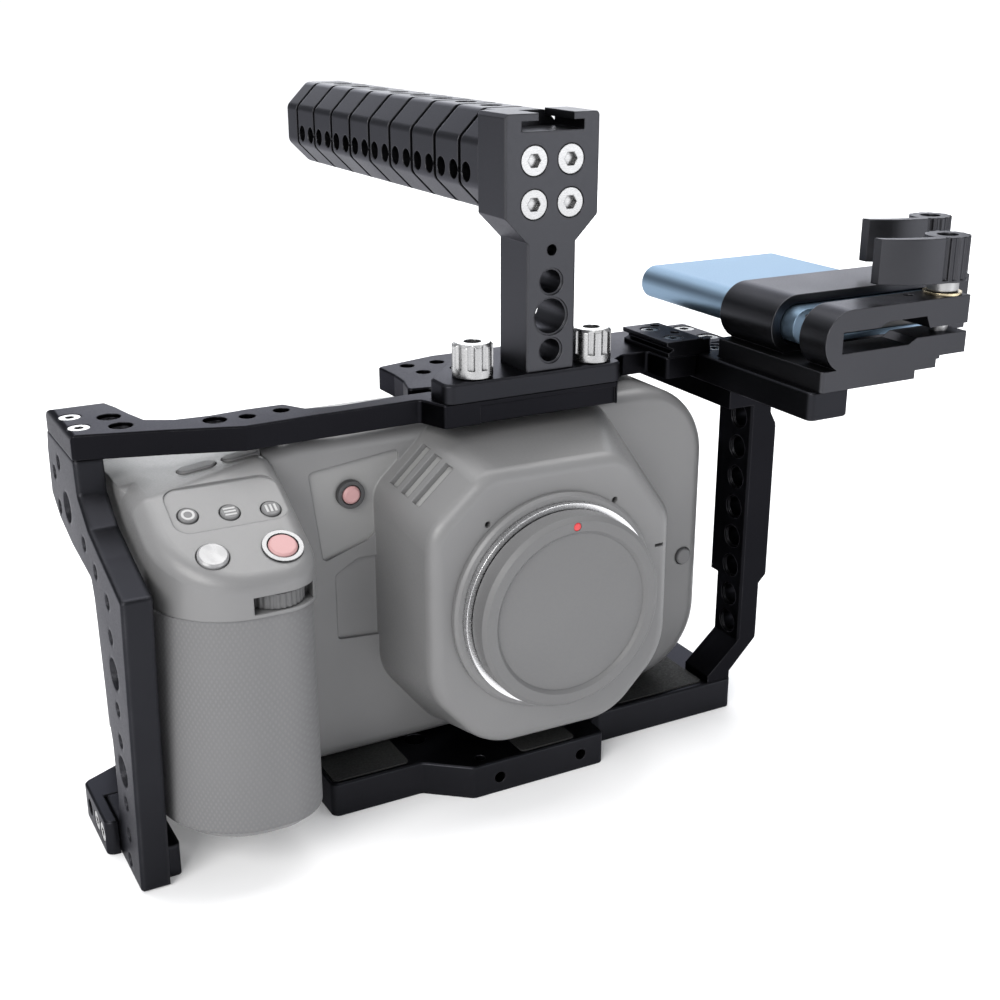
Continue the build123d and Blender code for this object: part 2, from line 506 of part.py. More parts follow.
def wing_screw(x, y):
    """Ribbed hub on a shouldered screw, with one curved blade towards -X."""
    z0 = CLAMP_Z1 + 0.8 + GAP
    discs(level(z0), [(x, y)], 4.4, 2.9)
    discs(level(z0 + 2.9), [(x, y)], 6.3, 12.6)
    with BuildSketch(level(z0 + 2.9)) as blade:
        with BuildLine():
            RadiusArc((x - 22.5, y + 2.0), (x - 3.0, y - 5.3), -34)
            Line((x - 3.0, y - 5.3), (x - 3.0, y - 1.9))
            RadiusArc((x - 3.0, y - 1.9), (x - 22.5, y + 5.0), 34)
            Line((x - 22.5, y + 5.0), (x - 22.5, y + 2.0))
        make_face()
    extrude(blade.sketch, amount=12.6)
    grooves = [(x + 6.8 * math.cos(a), y + 6.8 * math.sin(a)) for a in
               (math.radians(i * 24 - 132) for i in range(11))]
    discs(level(z0 + 3.6), grooves, 0.95, 12.6, Mode.SUBTRACT)
    bores(level(z0 + 15.5), [(x, y)], 3.0, 1.6)
    discs(level(LOOP_LO + 1.6), [(x, y)], M5, z0 - LOOP_LO - 1.6)


with BuildPart() as wing_screw_front:
    wing_screw(*WING_SCREWS[0])
save(wing_screw_front, "wing_screw_front")

with BuildPart() as wing_screw_rear:
    wing_screw(*WING_SCREWS[1])
save(wing_screw_rear, "wing_screw_rear")

# --- portable drive: extruded case with round long edges and a port plate
with BuildPart() as drive_case:
    with BuildSketch(across(dy1)) as case_section:
        with Locations(((dx0 + dx1) / 2, (dz0 + dz1) / 2)):
            RectangleRounded(dx1 - dx0, dz1 - dz0, 5.1)
    extrude(case_section.sketch, amount=dy1 - dy0)
    # the board bay is open at the front, behind the port plate
    brick((dx0 + 4, dx1 - 4), (dy0 - 1, dy1 - 3), (dz0 + 1.6, dz1 - 1.6), mode=Mode.SUBTRACT)
save(drive_case, "drive_case")

with BuildPart() as drive_port_plate:
    brick((dx0 + 4.1, dx1 - 4.1), (dy0 + 0.6, dy0 + 2.4), (dz0 + 1.7, dz1 - 1.7))
    with BuildSketch(across(dy0 + 0.6)) as port:
        with Locations(((dx0 + dx1) / 2, (dz0 + dz1) / 2)):
            SlotOverall(9.0, 3.0)
    extrude(port.sketch, amount=-1.8, mode=Mode.SUBTRACT)
save(drive_port_plate, "drive_port_plate")

# ===================================================================== CAMERA
HUMP_ROOT = [(-40.5, 36.0), (-22.0, 12.5), (34.0, 12.5), (58.0, 30.0), (58.0, 66.0), (31.0, 105.0),
             (-24.0, 105.6), (-40.5, 90.0)]
HUMP_CROWN = [(-37.0, 38.0), (-20.0, 18.5), (20.0, 18.0), (37.0, 36.0), (37.0, 78.0), (22.0, 98.0),
              (-20.0, 98.6), (-37.0, 84.0)]
VENTS = (-4.5, -10.0, -15.5)
REAR_BUTTONS = [(-74.0, 84.0), (-74.0, 70.0), (-74.0, 56.0)]
DOOR = (-98.6, -79.4, -22.0, 21.0)
BATTERY = (-98.0, -80.4, -20.5, 17.5, 16.0, 71.0)
STILLS = (-94.6, -29.2)
RECORD = (-77.4, -29.9)
FUNCTIONS = [(-96.3, -16.4), (-86.1, -17.4), (-75.9, -18.4)]
TOP_BUTTONS = [(-88.2, 2.0), (-76.4, 2.0)]
FRONT_RECORD = (-47.3, 89.3)
RELEASE = (63.4, 50.2)
HOUSING_SCREWS = [(-20.2, 85.0), (19.2, 85.2)]
DIAL = (-80.4, -30.4)


def deck_height(y):
    """Height of the sloping control deck at a given y."""
    return DECK_LIP + (y - DECK_FRONT) * math.tan(math.radians(DECK_TILT))


def deck_plane(x, y, lift=0.0):
    """Plane lying on the control deck at a point, its normal away from the camera."""
    ny, nz = -math.sin(math.radians(DECK_TILT)), math.cos(math.radians(DECK_TILT))
    origin = Vector(x, y + ny * lift, deck_height(y) + nz * lift)
    return Plane(origin=origin, x_dir=(1, 0, 0), z_dir=(0, ny, nz))


def roof_height(x):
    """Height of the roof over the controls, which falls towards the left end."""
    return CAM_HI - (ROOF_FOLD - x) * math.tan(math.radians(ROOF_TILT))


def roof_plane(x, y, lift=0.0):
    """Plane lying on the sloping roof at a point, its normal away from the camera."""
    nx, nz = -math.sin(math.radians(ROOF_TILT)), math.cos(math.radians(ROOF_TILT))
    origin = Vector(x + nx * lift, y, roof_height(x) + nz * lift)
    return Plane(origin=origin, x_dir=(nz, 0, -nx), z_dir=(nx, 0, nz))


def grip_plan(z, front, inner, grow, left_radius, right_radius):
    """Plan of the hand grip at a height: flat front with two round corners."""
    with BuildSketch(level(z)) as plan:
        with BuildLine():
            Polyline((CAM_L - grow, 12.0), (CAM_L - grow, front), (inner, front), (inner, 12.0), close=True)
        make_face()
        front_corners = plan.vertices().group_by(Axis.Y)[0].sort_by(Axis.X)
        fillet(front_corners[0], left_radius)
        fillet(plan.vertices().sort_by(Axis.X)[-2:].sort_by(Axis.Y)[0], right_radius)
    return plan.sketch


with BuildPart() as grip_core:
    extrude(grip_plan(GRIP_LO, GRIP_FRONT, GRIP_IN, 0.0, 22.0, 11.0), amount=DECK_LOW + 2.0 - GRIP_LO)
    fillet(grip_core.faces().sort_by(Axis.Z)[0].outer_wire().edges().sort_by(Axis.Y)[:-1], 8.0)

with BuildPart() as deck_block:
    extrude(grip_plan(DECK_LOW, DECK_FRONT, GRIP_IN + 1.5, 0.0, 22.0, 11.0), amount=CAM_HI + 4.0 - DECK_LOW)
    # everything above the sloping deck and above the roof behind it
    prism(side(CAM_L - 1), [(-60.0, deck_height(-60.0)), (30.0, deck_height(30.0)), (-60.0, 150.0)], 42,
          Mode.SUBTRACT)
    prism(across(20.0), [(CAM_L - 2, roof_height(CAM_L - 2)), (ROOF_FOLD, CAM_HI), (ROOF_FOLD, 125.0),
                         (CAM_L - 2, 125.0)], 70, Mode.SUBTRACT)
    rim = deck_block.faces().filter_by(lambda f: f.normal_at().Z > 0.5).edges()
    fillet(rim.filter_by(lambda e: e.center().Y < 11.0), RIM_RADIUS)


def camera_skin():
    """Outer shape of the whole camera, drawn into the part being built."""
    with BuildSketch(across(CAM_REAR)) as slab:
        with BuildLine():
            Polyline((CAM_L, CAM_LO), (CAM_R, CAM_LO), (CAM_R, CAM_HI), (ROOF_FOLD, CAM_HI),
                     (CAM_L, roof_height(CAM_L)), close=True)
        make_face()
        right_corners = slab.vertices().group_by(Axis.X)[-1]
        left_corners = slab.vertices().group_by(Axis.X)[0].sort_by(Axis.Y)
        fillet(right_corners, 23.0)
        fillet(left_corners[0], 8.0)
        fillet(left_corners[1], 10.0)
    extrude(slab.sketch, amount=CAM_REAR - CAM_FRONT)
    fillet(faces().sort_by(Axis.Y)[0].outer_wire().edges(), 4.0)
    fillet(faces().sort_by(Axis.Y)[-1].outer_wire().edges(), 2.5)
    # the roof falls towards the back, and the grip's side stands higher off the plate
    prism(side(CAM_L - 1), [(REAR_SLOPE_Y, CAM_HI), (CAM_REAR + 2, REAR_SLOPE_Z), (CAM_REAR + 2, 125.0),
                            (REAR_SLOPE_Y, 125.0)], CAM_R - CAM_L + 2, Mode.SUBTRACT)
    brick((CAM_L - 1, -69.0), (-1.0, CAM_REAR + 1), (CAM_LO - 1, GRIP_LO), mode=Mode.SUBTRACT)
    add(grip_core.part)
    add(deck_block.part)


def hump():
    """Tapered housing around the lens mount, eight-sided with wide round corners."""
    outlines = []
    for y, points, low, high in ((HUMP_ROOT_Y, HUMP_ROOT, 16.0, 9.0), (HUMP_Y, HUMP_CROWN, 20.0, 12.0)):
        with BuildSketch(across(y)) as outline:
            with BuildLine():
                Polyline(*points, close=True)
            make_face()
            fillet(outline.vertices().sort_by(Axis.Y)[:4], low)
            fillet(outline.vertices().sort_by(Axis.Y)[8:], high)
        outlines.append(outline.sketch)
    loft(outlines)


def vent(y, inner, outer, mode):
    """Slot along the hump's upper left flank at y, between two depths from its surface."""
    t = (HUMP_ROOT_Y - y) / (HUMP_ROOT_Y - HUMP_Y)
    (ax, az), (bx, bz) = [((1 - t) * r[0] + t * c[0], (1 - t) * r[1] + t * c[1])
                          for r, c in ((HUMP_ROOT[7], HUMP_CROWN[7]), (HUMP_ROOT[6], HUMP_CROWN[6]))]
    length = math.hypot(bx - ax, bz - az)
    ux, uz = (bx - ax) / length, (bz - az) / length
    ends = ((ax + 4.2 * ux, az + 4.2 * uz), (bx - 4.6 * ux, bz - 4.6 * uz))
    points = [(x - uz * d, z + ux * d) for d, pair in ((inner, ends), (outer, ends[::-1])) for x, z in pair]
    prism(across(y + 1.7), points, 3.4, mode)


with BuildPart() as lens_housing:
    hump()
    fillet(lens_housing.faces().sort_by(Axis.Y)[0].outer_wire().edges(), 4.0)

with BuildPart() as camera_front:
    camera_skin()
    # sunk facets between the deck and the lens housing
    prism(across(0.9), [(-59.0, 97.0), (-33.0, 100.0), (-33.0, 84.0), (-42.7, 75.2), (-55.8, 71.0)], 3.0,
          Mode.SUBTRACT, 1.2)
    prism(across(0.8), [(-52.5, 66.6), (-46.0, 70.4), (-36.0, 70.4), (-36.0, 46.0), (-52.5, 47.4)], 3.0,
          Mode.SUBTRACT, 1.0)
    add(lens_housing.part)
    split(bisect_by=across(CAM_SPLIT), keep=Keep.TOP)
    # hollow inside: main bay, lens chamber and battery bay
    brick((-64.0, 56.0), (3.5, CAM_SPLIT), (17.0, 96.0), 6.0, Mode.SUBTRACT)
    discs(across(6.0), [(0.0, LENS_Z)], 26.0, 40.0, Mode.SUBTRACT)
    brick((BATTERY[0] - 0.4, BATTERY[1] + 0.4), (-20.9, 17.9), (CAM_LO - 1, 71.4), 2.0, Mode.SUBTRACT)
    # rebates of the battery door and the card door
    brick((DOOR[0] - GAP, DOOR[1] + GAP), (DOOR[2] - GAP, DOOR[3] + GAP), (GRIP_LO - 1, GRIP_LO + 3.0),
          mode=Mode.SUBTRACT)
    brick((CAM_L - 1, CAM_L + 2.3), (2.0, CAM_SPLIT), (30.0, 76.0), mode=Mode.SUBTRACT)
    # thread for the tripod screw, in a boss inside the body
    discs(level(CAM_LO + 4.0), [CAMERA_SCREW], 9.0, 7.6)
    bores(level(CAM_LO + 9.0), [CAMERA_SCREW], QUARTER, 10.0)
    bores(across(-0.9), [FRONT_RECORD], 3.9, 7.0)
    # shallow tray of the function buttons
    with BuildSketch(deck_plane(-86.2, -15.0)) as tray:
        RectangleRounded(29.0, 15.4, 4.0)
    extrude(tray.sketch, amount=-0.6, mode=Mode.SUBTRACT)
    # wells of the deck's buttons
    for (x, y), radius in [(STILLS, 4.1), (RECORD, 5.1)] + [(spot, 2.7) for spot in FUNCTIONS]:
        bores(deck_plane(x, y), [(0, 0)], radius, 6.0)
    for spot in TOP_BUTTONS:
        with BuildSketch(roof_plane(*spot, 2.0)) as well:
            SlotOverall(10.6, 5.2)
        extrude(well.sketch, amount=-6.5, mode=Mode.SUBTRACT)
    brick((-60.0, -50.0), (6.0, 12.0), (CAM_HI - 4.0, CAM_HI + 1), 2.9, Mode.SUBTRACT)
    # slot of the control dial in the deck's front lip
    brick((-88.0, -71.8), (-42.0, DIAL[1]), (77.5, 81.9), mode=Mode.SUBTRACT)
    discs(level(77.5), [DIAL], 7.9, 4.4, Mode.SUBTRACT)
    for y in VENTS:
        vent(y, -1.8, 3.0, Mode.SUBTRACT)
    # well of the lens release, alignment mark, and the cable ports on the right side
    bores(across(-1.0), [RELEASE], 2.9, 7.0)
    brick((33.2, 36.0), (HUMP_Y - 1, HUMP_Y + 1.7), (68.6, 69.5), mode=Mode.SUBTRACT)
    bores(across(HUMP_Y - 1.0), HOUSING_SCREWS, 0.9, 5.0)
    brick((CAM_R - 2.4, CAM_R + 1), (6.0, 20.0), (36.0, 80.0), mode=Mode.SUBTRACT)
save(camera_front, "camera_front")

with BuildPart() as camera_rear:
    camera_skin()
    split(bisect_by=across(CAM_SPLIT), keep=Keep.BOTTOM)
    brick((-64.0, 56.0), (CAM_SPLIT, CAM_REAR - 7.0), (17.0, 96.0), 6.0, Mode.SUBTRACT)
    # screen recess and the wells of the rear buttons
    brick((-60.0, 62.0), (CAM_REAR - 2.5, CAM_REAR + 1), (24.0, 94.0), mode=Mode.SUBTRACT)
    discs(across(CAM_REAR + 1), REAR_BUTTONS, 3.9, 5.0, Mode.SUBTRACT)
    brick((CAM_L - 1, CAM_L + 2.3), (CAM_SPLIT, 40.0), (30.0, 76.0), mode=Mode.SUBTRACT)
save(camera_rear, "camera_rear")

with BuildPart() as screen_glass:
    brick((-59.8, 61.8), (CAM_REAR - 2.5, CAM_REAR - 0.3), (24.2, 93.8))
save(screen_glass, "screen_glass")

# --- rubber sleeve on the grip, outside the housing on the front and both sides
with BuildPart() as grip_cover:
    extrude(grip_plan(GRIP_LO + 4.6, GRIP_FRONT - 1.2, GRIP_IN + 1.2, 1.2, 23.2, 12.2),
            amount=DECK_LOW - 0.1 - GRIP_LO - 4.6)
    fillet(grip_cover.faces().sort_by(Axis.Z)[0].outer_wire().edges().sort_by(Axis.Y)[:-1], 1.4)
    add(grip_core.part, mode=Mode.SUBTRACT)
    brick((CAM_L - 5, GRIP_IN + 5), (-4.0, 30.0), (0.0, 100.0), mode=Mode.SUBTRACT)
save(grip_cover, "grip_cover")

# --- lens mount
with BuildPart() as mount_collar:
    discs(across(HUMP_Y), [(0.0, LENS_Z)], 31.2, 2.2)
    chamfer(mount_collar.faces().sort_by(Axis.Y)[0].edges(), 0.8)
    discs(across(HUMP_Y + 1), [(0.0, LENS_Z)], 26.0, 5.0, Mode.SUBTRACT)
save(mount_collar, "mount_collar")

with BuildPart() as mount_ring:
    discs(across(HUMP_Y - 2.2), [(0.0, LENS_Z)], 29.0, -FLANGE_Y + HUMP_Y - 2.2)
    discs(across(HUMP_Y + 2.0), [(0.0, LENS_Z)], 26.0, 4.2)
    discs(across(HUMP_Y + 3.0), [(0.0, LENS_Z)], 20.6, 12.0, Mode.SUBTRACT)
    slots = [(17.8 * math.cos(a), LENS_Z + 17.8 * math.sin(a)) for a in
             (math.radians(90 + i * 120) for i in range(3))]
    discs(across(HUMP_Y - 2.2), slots, 3.6, 4.0, Mode.SUBTRACT)
    heads = [(24.6 * math.cos(a), LENS_Z + 24.6 * math.sin(a)) for a in
             (math.radians(30 + i * 60) for i in range(6))]
    bores(across(FLANGE_Y), heads, 1.1, 0.8)
save(mount_ring, "mount_ring")

with BuildPart() as mount_throat:
    discs(across(-11.0), [(0.0, LENS_Z)], 25.6, 15.0)
    with BuildSketch(across(-10.0)) as gate:
        with Locations((0.0, LENS_Z)):
            Rectangle(22.0, 15.0)
    extrude(gate.sketch, amount=4.0, mode=Mode.SUBTRACT)
    discs(across(-13.0), [(0.0, LENS_Z)], 19.4, 16.0, Mode.SUBTRACT)
save(mount_throat, "mount_throat")

with BuildPart() as sensor_stack:
    with BuildSketch(across(-4.0)) as sensor:
        with Locations((0.0, LENS_Z)):
            Rectangle(30.0, 23.0)
    extrude(sensor.sketch, amount=6.8)
save(sensor_stack, "sensor_stack")

# --- body cap: dished disc with a raised rim and a plug that enters the throat
CAP_BACK, CAP_FACE = FLANGE_Y - GAP, FLANGE_Y - 6.8
with BuildPart() as body_cap:
    discs(across(CAP_BACK), [(0.0, LENS_Z)], 27.5, CAP_BACK - CAP_FACE)
    chamfer(body_cap.faces().sort_by(Axis.Y)[0].edges(), 1.2)
    bores(across(CAP_FACE), [(0.0, LENS_Z)], 22.6, 1.1)
    chamfer(body_cap.faces().sort_by(Axis.Y)[0].edges().sort_by(SortBy.LENGTH)[0], 0.9)
    discs(across(FLANGE_Y + 6.0), [(0.0, LENS_Z)], 18.6, 7.0)
    discs(across(FLANGE_Y + 7.0), [(0.0, LENS_Z)], 16.4, 5.6, Mode.SUBTRACT)
    bores(across(CAP_FACE), [(0.5, LENS_Z + 24.9)], 1.2, 0.5)
save(body_cap, "body_cap")

with BuildPart() as lens_release:
    discs(across(2.4), [RELEASE], 2.6, 3.4)
    fillet(lens_release.faces().sort_by(Axis.Y)[0].edges(), 0.6)
save(lens_release, "lens_release")


def deck_button(x, y, radius, rise, crown):
    """Round button on the deck: a plug in its well, standing proud by rise."""
    discs(deck_plane(x, y, -2.6), [(0, 0)], radius, 2.6 + rise)
    chamfer(faces().filter_by(GeomType.PLANE).sort_by(Axis.Z)[-1].edges(), crown)


with BuildPart() as record_bezel:
    discs(deck_plane(*RECORD, -3.4), [(0, 0)], 5.1, 3.9)
    discs(deck_plane(*RECORD, -3.4), [(0, 0)], 3.9, 5.0, Mode.SUBTRACT)
save(record_bezel, "record_bezel")

with BuildPart() as record_button:
    deck_button(*RECORD, 3.6, 0.9, 0.5)
save(record_button, "record_button")

with BuildPart() as stills_button:
    deck_button(*STILLS, 3.8, 1.0, 0.5)
save(stills_button, "stills_button")

for number, spot in enumerate(FUNCTIONS, 1):
    with BuildPart() as function_button:
        deck_button(*spot, 2.4, -0.1, 0.3)
    save(function_button, f"function_button_{number}")

with BuildPart() as front_record_bezel:
    discs(across(4.6), [FRONT_RECORD], 3.9, 5.4)
    discs(across(4.7), [FRONT_RECORD], 2.8, 7.0, Mode.SUBTRACT)
save(front_record_bezel, "front_record_bezel")

with BuildPart() as front_record_button:
    discs(across(2.6), [FRONT_RECORD], 2.5, 4.0)
    chamfer(front_record_button.faces().sort_by(Axis.Y)[0].edges(), 0.6)
save(front_record_button, "front_record_button")

# --- knurled dial on a vertical pin behind the deck's front lip
with BuildPart() as control_dial:
    discs(level(77.8), [DIAL], 7.4, 3.8)
    teeth = [(DIAL[0] + 7.8 * math.cos(a), DIAL[1] + 7.8 * math.sin(a)) for a in
             (math.radians(i * 12) for i in range(30))]
    discs(level(77.0), teeth, 0.65, 8.0, Mode.SUBTRACT)
save(control_dial, "control_dial")

for name, spot in zip(("top_button_left", "top_button_right"), TOP_BUTTONS):
    with BuildPart() as top_button:
        with BuildSketch(roof_plane(*spot, -3.4)) as outline:
            SlotOverall(10.0, 4.6)
        extrude(outline.sketch, amount=3.9)
        chamfer(top_button.faces().sort_by(Axis.Z)[-1].outer_wire().edges(), 0.3)
    save(top_button, name)

with BuildPart() as power_switch:
    brick((-59.7, -54.7), (6.3, 11.7), (CAM_HI - 3.7, CAM_HI - 0.4), 2.4)
    brick((-58.0, -56.4), (7.2, 10.8), (CAM_HI - 0.4, CAM_HI + 0.9), 0.7)
save(power_switch, "power_switch")

for number, spot in enumerate(REAR_BUTTONS, 1):
    with BuildPart() as rear_button:
        discs(across(CAM_REAR + 0.6), [spot], 3.6, 2.8)
        chamfer(rear_button.faces().sort_by(Axis.Y)[-1].edges(), 0.4)
    save(rear_button, f"rear_button_{number}")

# --- battery, its hinged door, the card door and the rubber port flap
with BuildPart() as battery:
    brick(BATTERY[0:2], BATTERY[2:4], BATTERY[4:6], 1.8)
    brick((-96.0, -86.0), (-19.0, -14.0), (BATTERY[4], BATTERY[4] + 1.0), mode=Mode.SUBTRACT)
save(battery, "battery")

with BuildPart() as battery_door:
    brick(DOOR[0:2], DOOR[2:4], (GRIP_LO + 0.2, GRIP_LO + 2.6), 0.8)
    brick((-93.0, -86.0), (-21.0, -18.0), (GRIP_LO, GRIP_LO + 0.9), mode=Mode.SUBTRACT)
save(battery_door, "battery_door")

with BuildPart() as card_door:
    brick((CAM_L + 0.2, CAM_L + 2.0), (2.4, 39.6), (30.4, 75.6), 0.5)
    brick((CAM_L, CAM_L + 0.8), (5.0, 8.0), (48.0, 58.0), mode=Mode.SUBTRACT)
save(card_door, "card_door")

with BuildPart() as port_flap:
    brick((CAM_R - 2.0, CAM_R - 0.2), (6.4, 19.6), (36.4, 79.6), 0.5)
    brick((CAM_R - 0.6, CAM_R), (11.0, 15.0), (37.4, 39.4), mode=Mode.SUBTRACT)
save(port_flap, "port_flap")

with BuildPart() as strap_lugs:
    with BuildSketch(side(CAM_R)) as lug:
        with Locations((32.0, 74.0)):
            Circle(3.6)
            Circle(1.8, mode=Mode.SUBTRACT)
    extrude(lug.sketch, amount=2.2)
save(strap_lugs, "strap_lugs")

with BuildPart() as vent_insert:
    for y in VENTS:
        vent(y, -1.8, -1.1, Mode.ADD)
save(vent_insert, "vent_insert")
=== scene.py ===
import json
import math

import bpy
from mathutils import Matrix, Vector


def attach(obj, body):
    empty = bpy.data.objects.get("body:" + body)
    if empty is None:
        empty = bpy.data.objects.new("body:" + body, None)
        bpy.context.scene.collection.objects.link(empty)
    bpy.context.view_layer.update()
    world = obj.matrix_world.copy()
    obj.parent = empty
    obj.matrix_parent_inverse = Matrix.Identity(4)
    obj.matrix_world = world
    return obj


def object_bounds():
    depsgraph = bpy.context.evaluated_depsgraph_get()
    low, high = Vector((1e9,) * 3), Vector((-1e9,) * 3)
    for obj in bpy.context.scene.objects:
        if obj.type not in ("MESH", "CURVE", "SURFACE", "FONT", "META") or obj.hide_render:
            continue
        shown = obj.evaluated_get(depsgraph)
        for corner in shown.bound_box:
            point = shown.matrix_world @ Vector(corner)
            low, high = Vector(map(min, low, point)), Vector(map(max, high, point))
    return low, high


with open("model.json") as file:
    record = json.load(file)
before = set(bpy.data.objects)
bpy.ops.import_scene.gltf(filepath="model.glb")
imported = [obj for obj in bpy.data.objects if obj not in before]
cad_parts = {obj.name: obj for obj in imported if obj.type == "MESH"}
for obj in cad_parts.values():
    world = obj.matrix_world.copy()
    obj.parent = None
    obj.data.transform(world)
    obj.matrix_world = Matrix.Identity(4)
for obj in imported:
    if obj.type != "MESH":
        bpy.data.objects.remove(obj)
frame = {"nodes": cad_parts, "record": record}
NODES = frame["nodes"]
cad_low, cad_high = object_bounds()
MM = 0.001


# ---------------------------------------------------------------- shader kit
class Shader:
    """A material's node tree, with short calls for the nodes that the finishes share."""

    def __init__(self, name, **sockets):
        self.material = bpy.data.materials.new(name)
        self.material.use_nodes = True
        self.tree = self.material.node_tree
        self.bsdf = self.tree.nodes["Principled BSDF"]
        for socket, value in sockets.items():
            self.bsdf.inputs[socket.replace("_", " ")].default_value = value
        self.place = self.node("ShaderNodeTexCoord").outputs["Object"]

    def node(self, kind, **settings):
        made = self.tree.nodes.new(kind)
        for name, value in settings.items():
            setattr(made, name, value)
        return made

    def link(self, source, target):
        self.tree.links.new(source, target)

    def set(self, socket, source):
        self.link(source, self.bsdf.inputs[socket])

    def noise(self, scale, detail, stretch=None):
        """Fractal noise of about scale cells to the metre."""
        made = self.node("ShaderNodeTexNoise")
        made.inputs["Scale"].default_value = scale
        made.inputs["Detail"].default_value = detail
        self.link(self.mapped(stretch), made.inputs["Vector"])
        return made.outputs["Fac"]

    def mapped(self, stretch=None, turn=(0.0, 0.0, 0.0)):
        """The object's coordinates in metres, stretched and turned (radians)."""
        if stretch is None and not any(turn):
            return self.place
        made = self.node("ShaderNodeMapping")
        made.inputs["Scale"].default_value = stretch or (1.0, 1.0, 1.0)
        made.inputs["Rotation"].default_value = turn
        self.link(self.place, made.inputs["Vector"])
        return made.outputs["Vector"]

    def math(self, operation, a, b, clamp=False):
        made = self.node("ShaderNodeMath", operation=operation, use_clamp=clamp)
        for value, socket in ((a, made.inputs[0]), (b, made.inputs[1])):
            if isinstance(value, (int, float)):
                socket.default_value = value
            else:
                self.link(value, socket)
        return made.outputs[0]

    def ramp(self, source, low, high, out_low=0.0, out_high=1.0):
        made = self.node("ShaderNodeMapRange", clamp=True)
        limits = {"From Min": low, "From Max": high, "To Min": out_low, "To Max": out_high}
        for socket, value in limits.items():
            made.inputs[socket].default_value = value
        self.link(source, made.inputs["Value"])
        return made.outputs["Result"]

    def mix(self, factor, first, second):
        made = self.node("ShaderNodeMix", data_type="RGBA")
        self.link(factor, made.inputs["Factor"])
        for socket, value in (("A", first), ("B", second)):
            target = [s for s in made.inputs if s.name == socket and s.type == "RGBA"][0]
            if isinstance(value, tuple):
                target.default_value = (*value, 1.0)
            else:
                self.link(value, target)
        return [s for s in made.outputs if s.type == "RGBA"][0]

    def bump(self, height, strength, distance, after):
        """Bumps, distance metres high at full strength, laid over the normal in after."""
        made = self.node("ShaderNodeBump")
        made.inputs["Strength"].default_value = strength
        made.inputs["Distance"].default_value = distance
        self.link(height, made.inputs["Height"])
        self.link(after, made.inputs["Normal"])
        return made.outputs["Normal"]

    def rounded(self, radius):
        """The normal with every edge rounded to the radius."""
        made = self.node("ShaderNodeBevel", samples=6)
        made.inputs["Radius"].default_value = radius
        return made.outputs["Normal"]

    def edges(self, rounded):
        """1 where the rounded normal turns away from the flat one, 0 on a flat."""
        turn = self.node("ShaderNodeVectorMath", operation="DOT_PRODUCT")
        self.link(rounded, turn.inputs[0])
        self.link(self.node("ShaderNodeNewGeometry").outputs["Normal"], turn.inputs[1])
        return self.ramp(turn.outputs["Value"], 0.995, 0.85)

    def recess(self, reach):
        """How far a point lies in a recess, from ambient occlusion: 1 deep in a socket, 0 on an open
        face. Steel uses it for painted shade.
        """
        made = self.node("ShaderNodeAmbientOcclusion", samples=6)
        made.inputs["Distance"].default_value = reach
        return self.ramp(made.outputs["AO"], 0.25, 0.85, 1.0, 0.0)

    def axis(self, name):
        """The object's X, Y or Z coordinate."""
        parts = self.node("ShaderNodeSeparateXYZ")
        self.link(self.place, parts.inputs[0])
        return parts.outputs[name]

    def between(self, value, low, high, soft):
        """1 where the value lies from low to high and 0 elsewhere, with soft borders."""
        rise = self.ramp(value, low - soft, low + soft)
        fall = self.ramp(value, high + soft, high - soft)
        return self.math("MULTIPLY", rise, fall)


# ------------------------------------------------------------------ finishes
# Each pair is the darker and the lighter shade that a finish drifts between.
BLACK = ((0.013, 0.0132, 0.0155), (0.023, 0.0234, 0.027))
# Darker copy of the black anodising: painted shade for parts whose faces lie in shade.
SHADED_BLACK = ((0.0055, 0.0055, 0.0068), (0.010, 0.010, 0.012))
# Lighter copy of the black anodising: painted sheen for parts that catch the light.
SHEEN_BLACK = ((0.034, 0.0345, 0.038), (0.052, 0.0525, 0.058))
BRIGHT = ((0.30, 0.30, 0.302), (0.38, 0.38, 0.382))
# Tone that anodised edges lighten towards: partly wear, partly painted highlight.
EDGE_WEAR_AND_HIGHLIGHT = (0.13, 0.13, 0.14)
# Painted shade for the inside of sockets and slots in steel.
SOCKET_SHADE = (0.035, 0.035, 0.038)

# Places in the shared frame, in mm
WING_COLLAR_TOP = 140.15
# Bounds of the housing facet that is painted lighter as a painted highlight.
FACET_X, FACET_Y, FACET_Z = (-60.0, -32.0), (0.5, 1.3), (70.6, 101.0)


def anodised(name="anodised_black", tones=BLACK, edge=0.45, bright_below=None):
    """Bead-blasted aluminium with lightened edges, partly wear and partly painted highlight, left bare
    below the height bright_below in mm.
    """
    s = Shader(name, Metallic=1.0, Roughness=0.34, Specular_Tint=(0.55, 0.55, 0.57, 1.0))
    blast = s.noise(2600, 3)
    cloud = s.noise(26, 4)
    rounded = s.rounded(edge * MM)
    patches = s.ramp(s.noise(90, 4), 0.40, 0.7, 0.35, 1.0)
    # Edge mask for lightening the edges in patches: partly wear, partly painted highlight.
    wear_and_highlight = s.math("MULTIPLY", s.edges(rounded), patches, clamp=True)
    tone = s.mix(cloud, *tones)
    worn = s.mix(s.math("MULTIPLY", wear_and_highlight, 0.30), tone, EDGE_WEAR_AND_HIGHLIGHT)
    if bright_below is not None:
        lower = s.ramp(s.axis("Z"), (bright_below + 0.05) * MM, (bright_below - 0.05) * MM)
        worn = s.mix(lower, worn, s.mix(cloud, *BRIGHT))
    s.set("Base Color", worn)
    s.set("Roughness", s.ramp(s.math("ADD", blast, cloud), 0.7, 1.3, 0.29, 0.41))
    s.set("Normal", s.bump(blast, 0.07, 0.04 * MM, rounded))
    return s.material


